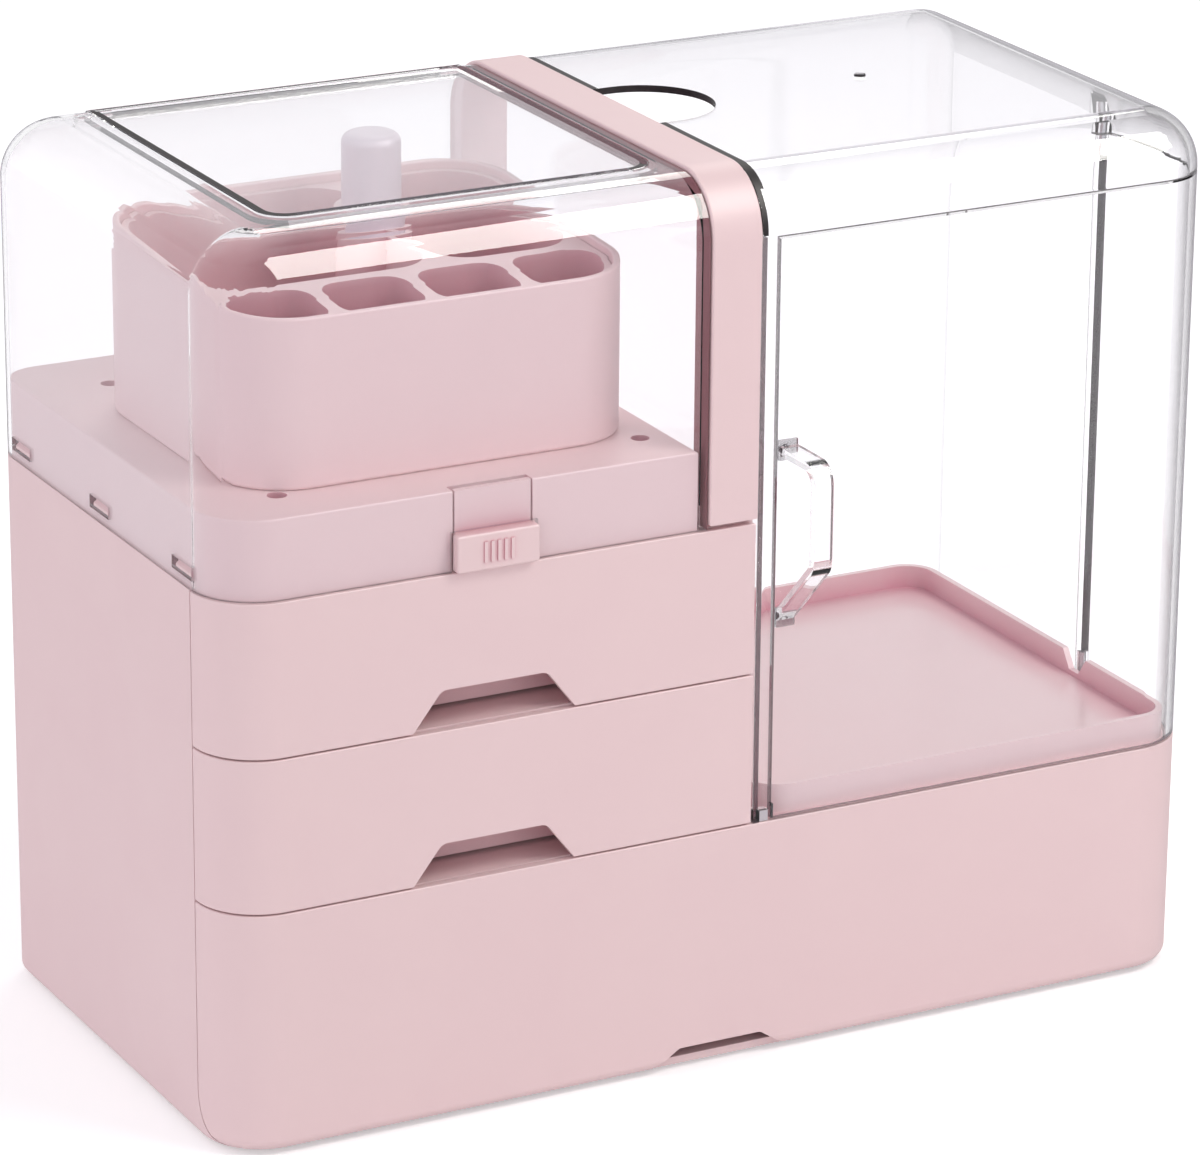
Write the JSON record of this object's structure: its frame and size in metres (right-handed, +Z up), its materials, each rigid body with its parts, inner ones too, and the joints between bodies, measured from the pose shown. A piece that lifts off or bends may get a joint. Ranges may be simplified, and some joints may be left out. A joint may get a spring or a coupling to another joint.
{
  "type": "makeup organizer",
  "caption": "Countertop makeup organizer: drawers with finger notches below, a lidded clear hood over a brush cup, and a clear-doored bottle bay, with a carrying band between.",
  "frame": {"origin": "middle of the whole object's box, pull handle and band included, on the plane of the feet", "axes": "+X to the object's right seen from the front, +Y to its back, +Z up; the drawers face -Y"},
  "size_m": [0.37, 0.2122, 0.3102],
  "materials": {
    "pink_plastic": "satin moulded",
    "pale_plastic": "satin moulded",
    "clear_plastic": "clear polished",
    "rubber": "matt",
    "steel": "plain",
    "magnet": "matt"
  },
  "bodies": {
    "housing": {"casing": "pink_plastic", "tower_shelf": "pink_plastic", "foot_pads": "rubber", "deck": "pink_plastic", "deck_screws": "steel", "clear_cover": "clear_plastic", "lid_hinge_pins": "steel", "handle_band": "pink_plastic", "band_screws": "steel", "bay_shell": "clear_plastic", "door_hinge_pins": "steel", "catch_magnet": "magnet", "bottle_tray": "pink_plastic", "brush_cup": "pink_plastic", "cup_insert": "pale_plastic", "lift_post": "pink_plastic"},
    "upper_drawer": {"upper_drawer_box": "pink_plastic", "upper_drawer_front": "pink_plastic"},
    "lower_drawer": {"lower_drawer_box": "pink_plastic", "lower_drawer_front": "pink_plastic"},
    "wide_drawer": {"wide_drawer_box": "pink_plastic", "wide_drawer_front": "pink_plastic"},
    "door": {"door": "clear_plastic", "door_handle": "clear_plastic", "striker_plate": "steel"},
    "lid": {"lid": "clear_plastic"},
    "latch": {"latch_button": "pink_plastic", "latch_spring": "steel"}
  },
  "joints": [
    {"name": "upper_drawer_slide", "type": "slide", "parent": "housing", "child": "upper_drawer", "axis": [0, -1, 0], "range_m": [0, 0.13]},
    {"name": "lower_drawer_slide", "type": "slide", "parent": "housing", "child": "lower_drawer", "axis": [0, -1, 0], "range_m": [0, 0.13]},
    {"name": "wide_drawer_slide", "type": "slide", "parent": "housing", "child": "wide_drawer", "axis": [0, -1, 0], "range_m": [0, 0.13]},
    {"name": "door_hinge", "type": "hinge", "parent": "housing", "child": "door", "pos_m": [0.1818, -0.0101, 0.18], "axis": [0, 0, 1], "range_deg": [0, 100]},
    {"name": "lid_hinge", "type": "hinge", "parent": "housing", "child": "lid", "pos_m": [-0.0853, 0.0894, 0.3058], "axis": [-1, 0, 0], "range_deg": [0, 95]},
    {"name": "latch_press", "type": "slide", "parent": "housing", "child": "latch", "axis": [0, 1, 0], "range_m": [0, 0.002], "stiffness_N_per_m": 400, "springref_m": -0.002}
  ]
}
